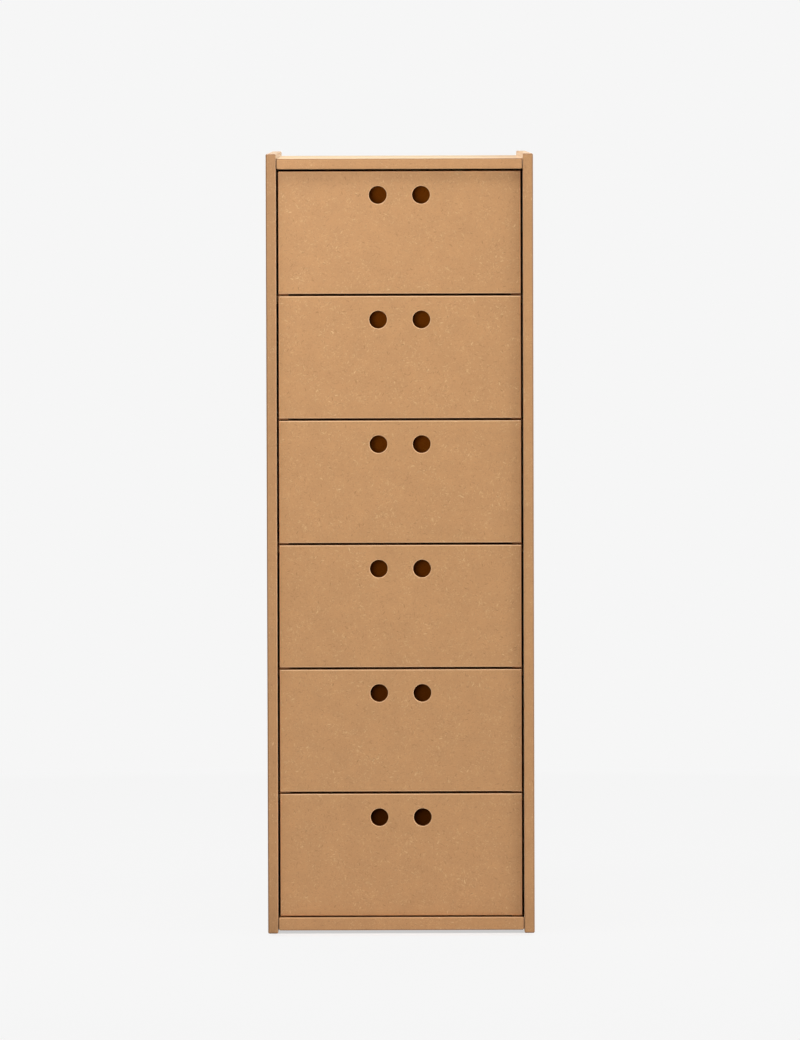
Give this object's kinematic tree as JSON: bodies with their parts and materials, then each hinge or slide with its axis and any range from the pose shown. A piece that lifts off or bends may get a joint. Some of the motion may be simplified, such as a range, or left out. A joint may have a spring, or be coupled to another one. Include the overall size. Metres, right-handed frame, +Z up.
{
  "type": "drawer unit",
  "caption": "Tall narrow fibreboard drawer unit for small parts: plain inset drawers, each pulled out by a pair of round holes, stacked in a housed-board carcass.",
  "frame": {"origin": "on the standing surface, under the middle of the unit", "axes": "+Z up, the drawer fronts face -Y, +X to the viewer's right"},
  "size_m": [0.084, 0.17, 0.2455],
  "materials": {
    "carcass_board": "sanded fibreboard, clear satin seal",
    "drawer_board": "sanded fibreboard, clear satin seal"
  },
  "bodies": {
    "carcass": {"left_side_panel": "carcass_board", "right_side_panel": "carcass_board", "top_panel": "carcass_board", "bottom_panel": "carcass_board", "back_panel": "carcass_board", "shelf_1": "carcass_board", "shelf_2": "carcass_board", "shelf_3": "carcass_board", "shelf_4": "carcass_board", "shelf_5": "carcass_board"},
    "drawer_1": {"drawer_1_front": "drawer_board", "drawer_1_left_side": "drawer_board", "drawer_1_right_side": "drawer_board", "drawer_1_back": "drawer_board", "drawer_1_bottom": "drawer_board"},
    "drawer_2": {"drawer_2_front": "drawer_board", "drawer_2_left_side": "drawer_board", "drawer_2_right_side": "drawer_board", "drawer_2_back": "drawer_board", "drawer_2_bottom": "drawer_board"},
    "drawer_3": {"drawer_3_front": "drawer_board", "drawer_3_left_side": "drawer_board", "drawer_3_right_side": "drawer_board", "drawer_3_back": "drawer_board", "drawer_3_bottom": "drawer_board"},
    "drawer_4": {"drawer_4_front": "drawer_board", "drawer_4_left_side": "drawer_board", "drawer_4_right_side": "drawer_board", "drawer_4_back": "drawer_board", "drawer_4_bottom": "drawer_board"},
    "drawer_5": {"drawer_5_front": "drawer_board", "drawer_5_left_side": "drawer_board", "drawer_5_right_side": "drawer_board", "drawer_5_back": "drawer_board", "drawer_5_bottom": "drawer_board"},
    "drawer_6": {"drawer_6_front": "drawer_board", "drawer_6_left_side": "drawer_board", "drawer_6_right_side": "drawer_board", "drawer_6_back": "drawer_board", "drawer_6_bottom": "drawer_board"}
  },
  "joints": [
    {"name": "drawer_1_slide", "type": "slide", "parent": "carcass", "child": "drawer_1", "axis": [0, -1, 0], "range_m": [0, 0.145]},
    {"name": "drawer_2_slide", "type": "slide", "parent": "carcass", "child": "drawer_2", "axis": [0, -1, 0], "range_m": [0, 0.145]},
    {"name": "drawer_3_slide", "type": "slide", "parent": "carcass", "child": "drawer_3", "axis": [0, -1, 0], "range_m": [0, 0.145]},
    {"name": "drawer_4_slide", "type": "slide", "parent": "carcass", "child": "drawer_4", "axis": [0, -1, 0], "range_m": [0, 0.145]},
    {"name": "drawer_5_slide", "type": "slide", "parent": "carcass", "child": "drawer_5", "axis": [0, -1, 0], "range_m": [0, 0.145]},
    {"name": "drawer_6_slide", "type": "slide", "parent": "carcass", "child": "drawer_6", "axis": [0, -1, 0], "range_m": [0, 0.145]}
  ]
}
